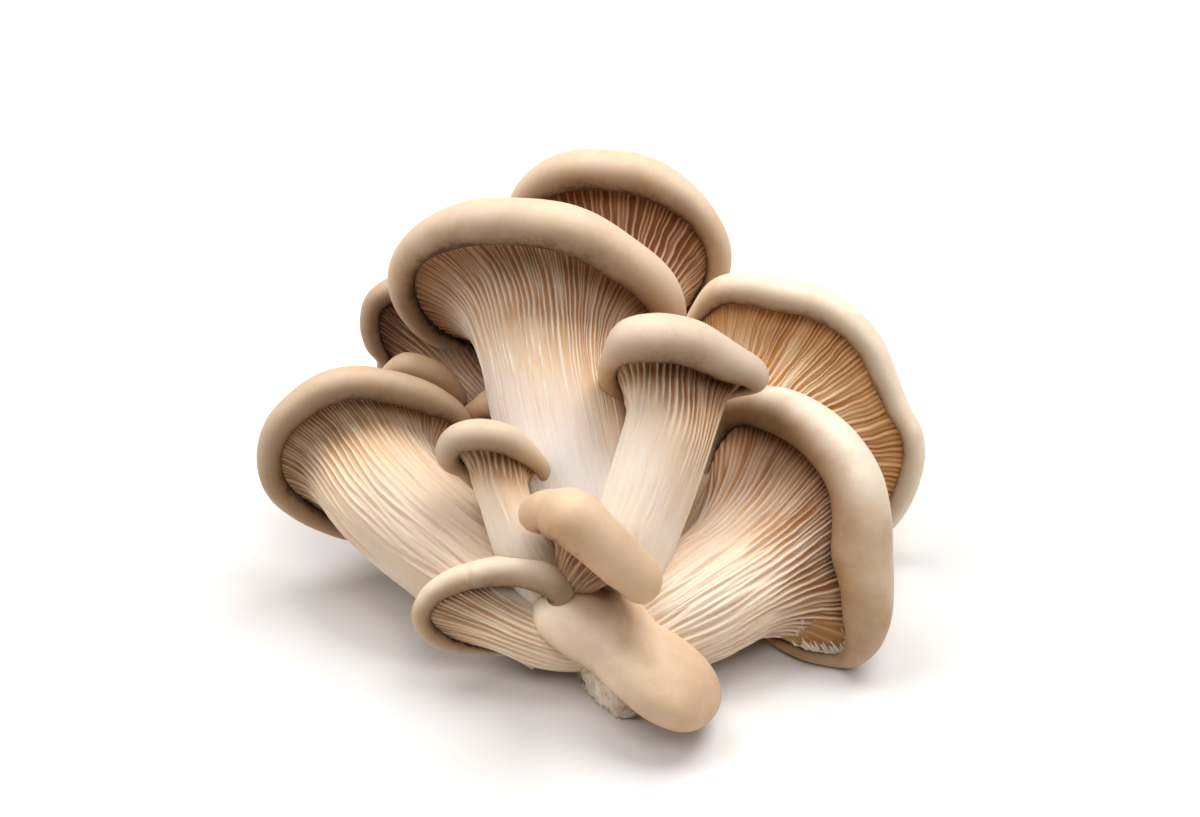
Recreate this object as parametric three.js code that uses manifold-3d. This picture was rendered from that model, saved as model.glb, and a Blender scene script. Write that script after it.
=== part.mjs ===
// A cluster of thirteen oyster mushrooms grown from one torn base, lying on its side.
// Millimetres, +Z up, the surface it lies on is Z = 0. Gill faces look towards -Y.
//
// Every mushroom is one smooth shape: a stem that sweeps from its foot to the throat, a
// trumpet of gills from the stem to the crease, a rolled lip round the rim, and the cap's
// back. It is split in two along a surface behind the gills: the cream stem with its
// gills, and the tan cap.
import * as THREE from "three";
import { mergeVertices } from "three/addons/utils/BufferGeometryUtils.js";
import Module from "manifold-3d";

const wasm = await Module();
wasm.setup();
const { Manifold, Mesh: SolidMesh } = wasm;

// ---- sizes shared by all mushrooms -------------------------------------------------
const GAP = 0.3; // clear space between cap and gills
const CLEAR = 0.45; // clear space between neighbouring mushrooms
const HEART = 3; // how far behind the throat cap and gills part
const LIP_TALL = 1.1; // height of the rolled lip over its width
// round the lip, from the crease that the gills tuck into to the back of the cap, degrees
const LIP_TURN = [205, 150, 95, 40, -25, -90];
const STEM_FLAT = 0.85; // stems are a little flat, front to back
const RIDGE = 0.9; // height of a gill at mid length
const RIDGE_ON_STEM = 0.4; // its height where it runs down the stem
const CREASE_CLEAR = 0.4; // the gills stop this far short of the crease
const AXIS_STEPS = 24;
const CENTRE = [-1.3, -6.75]; // middle of the cluster seen from above, moved to the origin

// ---- the mushrooms, front ones first -------------------------------------------------
// foot, bend, throat: the stem's curve. face: the way the gills look.
// rim: [clock angle seen from the gill side, reach from the throat, lip radius].
// stem: radius at the foot and under the gills. sides: columns round the cap; the gilled
// side has "finer" times as many, and a ridge on every second one.
const MUSHROOMS = {
  front: {
    foot: [2.5, -48, 1], bend: [3, -51, 5], throat: [6, -50.4, 12.1],
    face: [-0.35, -0.15, -0.92], stem: [4.6, 4.4], gillFrom: 0.6, sides: 20, finer: 1,
    top: [0, 0, 8.5], dome: 0.3,
    rim: [
      [43, 7.3, 3.8], [76, 11.2, 4], [90, 15.1, 4.1], [104, 18, 4.2], [120, 17.7, 4.2],
      [135, 16.2, 4.1], [148, 12.4, 4], [180, 6, 3.6], [215, 6.8, 3.8], [235, 8.6, 4.1],
      [256, 14, 4.2], [270, 16.8, 4], [288, 18.6, 4], [307, 18.6, 3.8], [322, 15.8, 3.8],
      [340, 10.4, 3.8],
    ],
  },
  hood: {
    foot: [-2, -34, 2], bend: [-7.5, -35.5, 12.3], throat: [-3.4, -42, 30.9],
    face: [-0.52, -0.72, -0.46], stem: [5, 4.6], gillFrom: 0.72, sides: 14, finer: 2,
    top: [0, 0, 8],
    rim: [
      [10, 22.7, 5.2], [29, 18.5, 5], [59, 14.9, 4.6], [73, 15.6, 4.3], [120, 11, 2.5],
      [160, 9, 2], [200, 8, 2], [240, 8, 2], [290, 9, 2.2], [316, 12, 2.6], [333, 15.4, 3.2],
      [356, 19.5, 4.4],
    ],
  },
  low: {
    foot: [0, -40.5, 6.9], bend: [-11.1, -48.6, 16], throat: [-21.9, -42.2, 14.5],
    face: [0.15, -0.97, 0.19], stem: [5.5, 5.4], flat: 1.3, gillFrom: 0.68, sides: 16, finer: 2,
    heart: 4, top: [0, 0, 8.5],
    rim: [
      [15, 10.8, 2.9], [43, 12.6, 2.8], [60, 14, 2.3], [95, 15, 2], [130, 12, 1.5],
      [175, 9.5, 1.5], [231, 9.4, 1.5], [249, 11.9, 1.9], [281, 15.1, 2.1], [294, 14.6, 2.2],
      [315, 12.8, 2.6], [343, 11.1, 2.8],
    ],
  },
  bud: {
    foot: [-8.2, -36.9, 14.7], bend: [-20.3, -34.4, 34.2], throat: [-21, -24.1, 40.9],
    face: [0, -0.96, -0.3], stem: [7.5, 5], gillFrom: 0.72, sides: 14, finer: 2,
    rim: [
      [5, 9.1, 2.9], [37, 7.3, 2.6], [81, 7.6, 2], [120, 10.1, 1.3], [150, 8.5, 1.3],
      [180, 8, 1.5], [215, 8, 1.6], [249, 7.3, 1.8], [274, 9.6, 2.2], [297, 11, 2.5],
      [321, 11.6, 2.8], [341, 10.7, 3],
    ],
  },
  right: {
    foot: [6.6, -42, 8.2], bend: [21.6, -38.4, 16.1], throat: [38, -19.3, 14.5],
    face: [-0.72, -0.6, 0.34], stem: [10, 13], gillFrom: 0.6, sides: 22, finer: 3,
    rim: [
      [12, 26.9, 5.4], [31, 26.1, 5.6], [47, 24.2, 5.9], [64, 22.9, 6.1], [81, 25, 5.3],
      [94, 27.1, 4.8], [108, 27.5, 3.8], [128, 25.3, 2.6], [150, 22, 2], [190, 19.5, 2],
      [235, 19, 2], [262, 19, 1.5], [279, 24.2, 1.3], [292, 26.5, 1.8], [302, 28.8, 3.2],
      [316, 29.2, 4.4], [334, 28.7, 4.9], [353, 27.5, 5.2],
    ],
  },
  middle: {
    foot: [5.2, -36.9, 14.7], bend: [13.8, -24.7, 43.3], throat: [17.3, -9.9, 52.5],
    face: [0.05, -0.93, -0.37], stem: [8.5, 9], gillFrom: 0.66, sides: 18, finer: 2,
    rim: [
      [29, 10, 4.3], [72, 10.8, 3.7], [99, 15.2, 2.4], [110, 16, 2], [150, 14, 2],
      [180, 13, 2], [210, 13.5, 2], [250, 15, 2], [302, 17.1, 2.6], [320, 18.2, 4.2],
      [336, 16.2, 4.7], [356, 13.4, 4.6],
    ],
  },
  left: {
    foot: [-8.3, -36.7, 8.5], bend: [-38, -26, 22], throat: [-52.3, -7.2, 30],
    face: [0.15, -0.98, 0.13], stem: [12, 12.5], gillFrom: 0.7, sides: 18, finer: 3,
    rim: [
      [7, 16.8, 3.5], [26, 17.1, 3.4], [45, 18.7, 3.3], [61, 20.9, 3.1], [72, 23.2, 2.4],
      [105, 26, 2], [140, 25, 2], [175, 21, 2], [200, 18.6, 2], [222, 17.6, 2.4], [244, 17.9, 2.5],
      [279, 17.3, 2.7], [298, 16.8, 3], [320, 16.1, 3.3], [346, 16.5, 3.5],
    ],
  },
  main: {
    foot: [1, -30.9, 9.4], bend: [-7, -13.8, 41.1], throat: [-13.6, 13.8, 53.6],
    face: [-0.15, -0.95, -0.27], stem: [11, 14.5], gillFrom: 0.6, sides: 24, finer: 3,
    top: [2, 0, 9],
    rim: [
      [19, 26.6, 4.8], [46, 25.9, 4.6], [74, 27.9, 4.2], [100, 29, 3], [135, 27, 3],
      [180, 22, 2.5], [215, 24, 2.2], [239, 27.5, 2.2], [273, 28.9, 2.9],
      [295, 28.8, 3.2], [314, 28, 3.9], [335, 27.2, 4.5], [356, 26.4, 4.6],
    ],
  },
  tucked: {
    foot: [-23, 5, 20], bend: [-33, 6, 24], throat: [-37.7, 7.4, 34.1],
    face: [-0.1, -0.96, -0.26], stem: [4, 3.6], gillFrom: 0.8, sides: 10, finer: 1,
    top: [0, 0, 5],
    rim: [
      [4, 8.1, 3], [49, 6.2, 2.8], [120, 7.5, 2], [180, 6.5, 2], [240, 6.5, 2], [317, 9.1, 2.4],
      [342, 9.9, 2.8],
    ],
  },
  button: {
    foot: [-14, -20, 18], bend: [-20, -9, 24], throat: [-23, 0.2, 31.4],
    face: [-0.21, -0.92, -0.33], stem: [3.5, 3.2], gillFrom: 0.8, sides: 10, finer: 1,
    top: [0, 0, 5],
    rim: [
      [4, 8.4, 2.8], [26, 7.5, 2.4], [120, 6.5, 2.2], [180, 6.5, 2], [240, 6, 2],
      [290, 5.4, 2], [337, 5.8, 2.4],
    ],
  },
  fan: {
    foot: [12, -22, 9], bend: [23, -3.1, 18], throat: [33, 13.1, 26.7],
    face: [-0.35, -0.88, 0.31], stem: [7, 9], gillFrom: 0.6, sides: 22, finer: 3,
    rim: [
      [7, 26.3, 3.7], [25, 28.5, 3.5], [39, 30, 3.2], [52, 30.8, 3], [66, 31.1, 2.8],
      [78, 32.9, 2.5], [87, 36, 2.4], [104, 37.9, 2.4], [127, 38, 2.2], [141, 35.7, 2.2],
      [185, 22, 2.2], [225, 20, 2.2], [270, 17, 2], [322, 23.6, 2], [335, 26, 3],
      [350, 26.2, 3.6],
    ],
  },
  crown: {
    foot: [3, -14, 14], bend: [1, 14, 30], throat: [4, 43.7, 43.2],
    face: [-0.25, -0.97, 0.06], stem: [7, 9], gillFrom: 0.66, sides: 18, finer: 3,
    rim: [
      [13, 23.3, 4.4], [34, 23.4, 3.8], [53, 23.7, 3.1], [71, 23.7, 2.8], [110, 21, 2.5],
      [150, 21, 2.5], [190, 20, 2.5], [235, 20, 2.5], [275, 23, 3], [308, 24.9, 3.6],
      [328, 24.4, 4.3], [351, 23.2, 4.4],
    ],
  },
  back: {
    foot: [-5, -15, 12], bend: [-15, 7, 22], throat: [-36, 25.9, 33.4],
    face: [0.1, -0.98, 0.19], stem: [6, 6.5], gillFrom: 0.7, sides: 14, finer: 2,
    rim: [
      [10, 17, 3], [50, 17, 3], [90, 18, 3], [130, 22, 2.2], [165, 30, 2.2],
      [200, 30, 2.2], [228, 18, 2], [252, 12.1, 1.6], [273, 13.4, 2], [294, 15.5, 2.2],
      [310, 16.9, 2.4], [340, 16, 3],
    ],
  },
};

// ---- the base that the stems grow from -----------------------------------------------
const BASE = {
  middle: [5, -45],
  height: 15,
  // [angle from +X, reach] of the footprint
  footprint: [
    [0, 11], [45, 11], [90, 11], [135, 12], [180, 9], [225, 9], [262, 12], [290, 12], [325, 11],
  ],
  spread: [0.93, 1, 0.95, 0.75, 0.4], // reach at rising heights
  ragged: 0.7, // depth of the torn bites in its side
};

// ---- small maths -----------------------------------------------------------------------
const vec = (p) => new THREE.Vector3(...p);
const mix = (a, b, k) => a.clone().lerp(b, k);
const along = (p, d, k) => p.clone().addScaledVector(d, k);
const smooth = (x) => THREE.MathUtils.smoothstep(x, 0, 1);

// Smooth closed curve through values at rising angles in degrees.
function cyclic(knots, values) {
  const n = knots.length;
  const gap = knots.map((k, i) => (i + 1 < n ? knots[i + 1] : knots[0] + 360) - k);
  const rise = values.map((v, i) => (values[(i + 1) % n] - v) / gap[i]);
  const slope = values.map((v, i) => {
    const p = (i + n - 1) % n;
    return (rise[p] * gap[i] + rise[i] * gap[p]) / (gap[i] + gap[p]);
  });
  return (angle) => {
    const a = knots[0] + THREE.MathUtils.euclideanModulo(angle - knots[0], 360);
    let i = n - 1;
    while (knots[i] > a) i -= 1;
    const j = (i + 1) % n;
    const t = (a - knots[i]) / gap[i];
    return (1 + 2 * t) * (1 - t) ** 2 * values[i] + t * (1 - t) ** 2 * gap[i] * slope[i]
      + t * t * (3 - 2 * t) * values[j] + t * t * (t - 1) * gap[i] * slope[j];
  };
}

// ---- solids ----------------------------------------------------------------------------
// A solid from a closed three.js geometry.
function solidOf(geometry) {
  geometry.deleteAttribute("normal");
  geometry.deleteAttribute("uv");
  const merged = mergeVertices(geometry);
  return new Manifold(new SolidMesh({
    numProp: 3,
    vertProperties: merged.attributes.position.array,
    triVerts: new Uint32Array(merged.index.array),
  }));
}

// A closed solid from rings of points, with a point at each end.
function skin(start, rings, end) {
  const n = rings[0].length;
  const points = [start, ...rings.flat(), end];
  const last = points.length - 1;
  const at = (row, j) => 1 + row * n + (j % n);
  const tris = [];
  for (let j = 0; j < n; j += 1) {
    tris.push(0, at(0, j + 1), at(0, j));
    for (let row = 0; row + 1 < rings.length; row += 1) {
      tris.push(at(row, j), at(row + 1, j + 1), at(row + 1, j));
      tris.push(at(row, j), at(row, j + 1), at(row + 1, j + 1));
    }
    tris.push(last, at(rings.length - 1, j), at(rings.length - 1, j + 1));
  }
  return new Manifold(new SolidMesh({
    numProp: 3,
    vertProperties: new Float32Array(points.flatMap((p) => p.toArray())),
    triVerts: new Uint32Array(tris),
  }));
}

// ---- one mushroom ----------------------------------------------------------------------
// The stem's curve, with axes that turn with it: "up" towards clock 0, "side" to clock 90.
function stemAxis(m) {
  const curve = new THREE.QuadraticBezierCurve3(vec(m.foot), vec(m.bend), vec(m.throat));
  const face = vec(m.face).normalize();
  const up = vec([0, 0, 1]).addScaledVector(face, -face.z).normalize();
  const stations = [];
  const carried = up.clone();
  for (let i = AXIS_STEPS; i >= 0; i -= 1) {
    const tangent = curve.getTangent(i / AXIS_STEPS);
    carried.addScaledVector(tangent, -carried.dot(tangent)).normalize();
    stations[i] = { point: curve.getPoint(i / AXIS_STEPS), tangent, up: carried.clone() };
  }
  const at = (t) => {
    const i = Math.min(AXIS_STEPS - 1, Math.floor(t * AXIS_STEPS));
    const k = t * AXIS_STEPS - i;
    const tangent = mix(stations[i].tangent, stations[i + 1].tangent, k).normalize();
    const upHere = mix(stations[i].up, stations[i + 1].up, k);
    upHere.addScaledVector(tangent, -upHere.dot(tangent)).normalize();
    return {
      point: mix(stations[i].point, stations[i + 1].point, k),
      tangent,
      up: upHere,
      side: tangent.clone().cross(upHere),
    };
  };
  return { face, up, side: up.clone().cross(face), at };
}

// Points put evenly between each pair of neighbours in a closed row.
function refine(row, times) {
  return row.flatMap((p, j) => {
    const next = row[(j + 1) % row.length];
    return Array.from({ length: times }, (_, k) => mix(p, next, k / times));
  });
}

// Rows of points over the whole mushroom, in columns round the clock, with every row
// "grow" outside the true surface and "times" as many columns as the cap has sides.
function surfaces(m, times, grow) {
  const axis = stemAxis(m);
  const throat = vec(m.throat);
  const reach = cyclic(m.rim.map((r) => r[0]), m.rim.map((r) => r[1]));
  const lip = cyclic(m.rim.map((r) => r[0]), m.rim.map((r) => r[2]));
  const clocks = Array.from({ length: m.sides }, (_, j) => (360 * j) / m.sides);
  const away = (a) => axis.up.clone().multiplyScalar(Math.cos(a)).addScaledVector(axis.side, Math.sin(a));
  const core = clocks.map((c) => along(throat, away(THREE.MathUtils.degToRad(c)), reach(c)));
  const outward = core.map((p, j) => {
    const run = core[(j + 1) % m.sides].clone().sub(core[(j + m.sides - 1) % m.sides]);
    return axis.face.clone().cross(run).normalize();
  });
  const lipAt = (degrees) => core.map((p, j) => {
    const r = lip(clocks[j]) + grow;
    const turn = THREE.MathUtils.degToRad(degrees);
    return along(along(p, outward[j], r * Math.cos(turn)), axis.face, LIP_TALL * r * Math.sin(turn));
  });

  const columns = m.sides * times;
  const stemAt = (t) => {
    const s = axis.at(t);
    const r = m.stem[0] + (m.stem[1] - m.stem[0]) * smooth(t / m.gillFrom);
    return Array.from({ length: columns }, (_, j) => {
      const a = (2 * Math.PI * j) / columns;
      return along(along(s.point, s.up, r * (m.flat ?? STEM_FLAT) * Math.cos(a)), s.side, r * Math.sin(a));
    });
  };

  const coarseCrease = lipAt(LIP_TURN[0]);
  const crease = refine(coarseCrease, times);
  const out = refine(outward, times).map((d) => d.normalize());
  const neck = stemAt(m.gillFrom);
  const neckRun = axis.at(m.gillFrom).tangent;
  const sheets = crease.map((g, j) => {
    const span = g.distanceTo(neck[j]);
    const ahead = Math.max(0, neck[j].clone().sub(throat).dot(axis.face));
    const room = ahead / Math.max(0.2, -neckRun.dot(axis.face));
    const rise = along(neck[j], neckRun, Math.min(0.45 * span, 0.9 * room));
    return new THREE.CubicBezierCurve3(neck[j], rise, along(g, out[j], -0.45 * span), g);
  });
  const sheetEnd = crease.map((g, j) => 1 - CREASE_CLEAR / (1.35 * g.distanceTo(neck[j])));
  const sheetAt = (w) => sheets.map((sheet, j) => sheet.getPoint(w * sheetEnd[j]));

  // The surface behind the gills where cap and gills part, "deeper" behind the gill side.
  const heart = (deeper) => along(throat, axis.face, -(m.heart ?? HEART) - deeper);
  const partAt = (u, deeper) => refine(coarseCrease.map((g, j) => {
    const inner = heart(deeper);
    const span = g.distanceTo(inner);
    const flat = g.clone().sub(inner);
    flat.addScaledVector(axis.face, -flat.dot(axis.face));
    const shoulder = along(along(g, outward[j], -0.35 * span), axis.face, -2.2 - deeper);
    return new THREE.CubicBezierCurve3(g, shoulder, along(inner, flat, 0.35), inner).getPoint(u);
  }), times);

  const [topUp, topSide, topBack] = m.top ?? [0, 0, 8];
  const top = along(along(along(throat, axis.up, topUp), axis.side, topSide), axis.face, -topBack - grow);
  const lipEnd = lipAt(LIP_TURN[LIP_TURN.length - 1]);
  const backAt = (u) => lipEnd.map((p, j) => {
    const span = p.distanceTo(top);
    const flat = p.clone().sub(top);
    flat.addScaledVector(axis.face, -flat.dot(axis.face));
    const shoulder = along(along(p, outward[j], -0.35 * span), axis.face, -(m.dome ?? 0.15) * span);
    return new THREE.CubicBezierCurve3(p, shoulder, along(top, flat, 0.5), top).getPoint(u);
  });
  return { foot: axis.at(0), heart, top, stemAt, sheetAt, partAt, lipAt, backAt };
}

// The gilled side, from the foot to the crease: rows lifted off the smooth surface by the
// height of the ridges there, on every "every"th column, and by "grow" on all of them.
function gilledRows(m, s, every, grow) {
  const sheet = m.finer > 2 ? [0, 0.2, 0.45, 0.75, 1] : [0, 0.35, 0.72, 1];
  const rows = [s.stemAt(0), s.stemAt(0.5 * m.gillFrom), ...sheet.map((w) => s.sheetAt(w))];
  const height = [0, 0.6 * RIDGE_ON_STEM, ...sheet.map((w) => (
    w === 1 ? 0 : RIDGE_ON_STEM + (RIDGE - RIDGE_ON_STEM) * smooth(w / 0.4)
  ))];
  const n = rows[0].length;
  return rows.map((row, i) => row.map((p, j) => {
    const across = row[(j + 1) % n].clone().sub(row[(j + n - 1) % n]);
    const run = rows[Math.min(rows.length - 1, i + 1)][j].clone().sub(rows[Math.max(0, i - 1)][j]);
    return along(p, across.cross(run).normalize(), grow + (j % every ? 0 : height[i]));
  }));
}

function gillsAndStem(m, grow) {
  const s = surfaces(m, m.finer, 0);
  const foot = along(s.foot.point, s.foot.tangent, -grow);
  return skin(foot, [...gilledRows(m, s, 2, grow), s.partAt(0.35, grow)], s.heart(grow));
}

function cap(m) {
  const s = surfaces(m, 1, 0);
  const rings = [s.partAt(0.35, GAP), ...LIP_TURN.map(s.lipAt), s.backAt(0.3), s.backAt(0.65)];
  const solid = skin(s.heart(GAP), rings, s.top);
  const gills = gillsAndStem(m, 0);
  return solid.intersect(gills).volume() > 0.001 ? solid.subtract(gillsAndStem(m, GAP)) : solid;
}

// The whole mushroom, grown all round, to keep its neighbours clear of it.
function whole(m) {
  const s = surfaces(m, 1, CLEAR);
  const gilled = gilledRows(m, s, 1, CLEAR).slice(0, -1);
  const foot = along(s.foot.point, s.foot.tangent, -CLEAR);
  return skin(foot, [...gilled, ...LIP_TURN.slice(1).map(s.lipAt), s.backAt(0.3), s.backAt(0.65)], s.top);
}

// ---- the base ----------------------------------------------------------------------------
function base(grow) {
  const columns = 26;
  const reach = cyclic(BASE.footprint.map((f) => f[0]), BASE.footprint.map((f) => f[1]));
  const rings = BASE.spread.map((k, i) => Array.from({ length: columns }, (_, j) => {
    const angle = (360 * j) / columns;
    const a = THREE.MathUtils.degToRad(angle);
    const bites = grow ? BASE.ragged : BASE.ragged * Math.sin(5 * a + 2.1 * i) * Math.cos(3 * a - i);
    const r = reach(angle) * k + bites + grow;
    const z = (BASE.height * i) / (BASE.spread.length - 1) + (i ? grow : 0);
    return vec([BASE.middle[0] + r * Math.cos(a), BASE.middle[1] + r * Math.sin(a), z]);
  }));
  const floor = vec([...BASE.middle, -grow]);
  if (grow) rings[0].forEach((p) => p.setZ(-grow));
  return skin(floor, rings, vec([...BASE.middle, BASE.height + 1 + 2 * grow]));
}

// ---- putting the cluster together -----------------------------------------------------
const SKIN_COLOURS = {
  front: "#d9bd9c", hood: "#d2b597", low: "#b39c83", bud: "#c9ae92", right: "#c4b29d",
  middle: "#c9b7a2", left: "#bfa488", main: "#c8ab8e", tucked: "#a98c6c", button: "#c3a58a",
  fan: "#cbbda9", crown: "#c7ab90", back: "#a88c74",
};
const CREAM = "#e8d9c8";
const TORN = "#e6d6c2";

// Everything below the surface that the cluster lies on.
const UNDER = solidOf(new THREE.BoxGeometry(400, 400, 50).translate(0, 0, -25));

// Keeps the largest body and cuts a flat where it would pass below the surface.
function settle(solid) {
  const bodies = solid.subtract(UNDER).decompose();
  return bodies.sort((a, b) => b.volume() - a.volume())[0];
}

function meshOf(name, solid, colour, roughness) {
  const { vertProperties, triVerts } = solid.getMesh();
  const geometry = new THREE.BufferGeometry();
  geometry.setAttribute("position", new THREE.BufferAttribute(new Float32Array(vertProperties), 3));
  geometry.setIndex(new THREE.BufferAttribute(new Uint32Array(triVerts), 1));
  const material = new THREE.MeshStandardMaterial({ color: colour, roughness, metalness: 0 });
  const mesh = new THREE.Mesh(geometry, material);
  mesh.name = name;
  return mesh;
}

const cluster = new THREE.Group();
const taken = []; // solids that later pieces stay clear of

// Adds a piece, cut back wherever an earlier one is in its way.
function place(name, solid, colour, roughness) {
  let piece = solid;
  for (const other of taken) {
    // twice, as a tight fold of a gilled side can lie over itself
    for (let i = 0; i < 2; i += 1) {
      if (piece.intersect(other).volume() > 1e-4) piece = piece.subtract(other);
    }
  }
  piece = settle(piece);
  cluster.add(meshOf(name, piece, colour, roughness));
  return piece;
}

for (const [name, m] of Object.entries(MUSHROOMS)) {
  const own = [
    place(`${name}_cap`, cap(m), SKIN_COLOURS[name], 0.55),
    place(`${name}_gills_and_stem`, gillsAndStem(m, 0), CREAM, 0.6),
  ];
  taken.push(whole(m), ...own);
  if (name === "front") taken.push(place("base", base(0), TORN, 0.85), base(GAP));
}

cluster.position.set(-CENTRE[0], -CENTRE[1], 0);

export default cluster;
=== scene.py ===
"""A cluster of thirteen oyster mushrooms that lies on its side on a pale surface.

Each mushroom is two closed lofted skins: the tan cap with its rolled lip, and the cream
stem that opens into a trumpet of gills. A node tree raises the gills from the cream skin.
Places and radii are in millimetres in the cluster's own frame. Meshes are in metres.
"""
import math

import bpy
import numpy as np
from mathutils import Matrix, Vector


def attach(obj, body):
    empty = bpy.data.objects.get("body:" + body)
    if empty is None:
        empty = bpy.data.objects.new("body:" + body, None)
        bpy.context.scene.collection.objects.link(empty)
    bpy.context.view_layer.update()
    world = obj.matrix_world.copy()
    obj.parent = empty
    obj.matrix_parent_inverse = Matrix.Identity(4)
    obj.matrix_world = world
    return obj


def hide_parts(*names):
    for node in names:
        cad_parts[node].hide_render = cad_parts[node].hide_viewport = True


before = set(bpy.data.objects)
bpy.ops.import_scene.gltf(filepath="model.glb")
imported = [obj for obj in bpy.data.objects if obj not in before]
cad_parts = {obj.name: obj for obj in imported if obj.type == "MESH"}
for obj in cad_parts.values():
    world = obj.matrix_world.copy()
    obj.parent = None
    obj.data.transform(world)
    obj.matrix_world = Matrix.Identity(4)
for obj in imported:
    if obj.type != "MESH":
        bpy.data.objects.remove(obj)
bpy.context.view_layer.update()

MM = 0.001
CENTRE = np.array([-1.3, -6.75, 0.0])  # the cluster's middle, which goes to the origin

# ---- sizes shared by all mushrooms, millimetres
HEART = 3.0          # how far behind the throat cap and gills part
GAP = 0.3            # clear space between cap and gills
LIP_TALL = 1.1       # height of the rolled lip over its width
LIP_FROM, LIP_TO = 205.0, -90.0   # round the lip from the gills' crease to the back, degrees
LIP_FRONT = 0.5      # halfway round the lip, counted from 0 at the crease to 1 at the back
STEM_FLAT = 0.85     # stems are a little flat, front to back
AXIS_STEPS = 24
TUCK = 0.4           # how far the gills run on inside the lip, over its radius
GILL_WIDTH = 0.8     # about the space that one gill, long or short, takes
SHADE_OUT = 0.12      # how much further round the lip the painted crease shade reaches where it faces up, and how much less so for a mushroom whose gills look up
SHADE_TILT = 0.22     # and how much less so for a mushroom whose gills look up
TORN_DEPTH = 1.8     # how deep the flesh lies where gills are torn away
TORN_FADE = 5.0      # degrees over which a torn patch begins and ends
WORN_FADE = 6.0      # the same for a worn patch
WORN_STEP = 0.06     # over what share of the trumpet a torn or worn patch fades in
REST = 0.05          # what rests on the surface is flattened this far above it

# ---- how finely the skins are made
GILL_STEPS = (0.0, 0.2, 0.4, 0.6, 0.8)   # columns across one gill
STEM_ROWS = 14
SHEET_ROWS = 40
LIP_ROWS = 24
BACK_ROWS = 12
CAP_COLUMNS = 180
BASE_ROWS, BASE_COLUMNS = 40, 200
CAP_HIDDEN = (0.85, 0.6, 0.35, 0.15)     # rows behind the gills, from the heart outward
GILL_HIDDEN = (0.15, 0.4, 0.7)           # rows behind the crease, inward
BEYOND = 1 + len(GILL_HIDDEN)            # rows past the trumpet, the first under the lip
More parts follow.
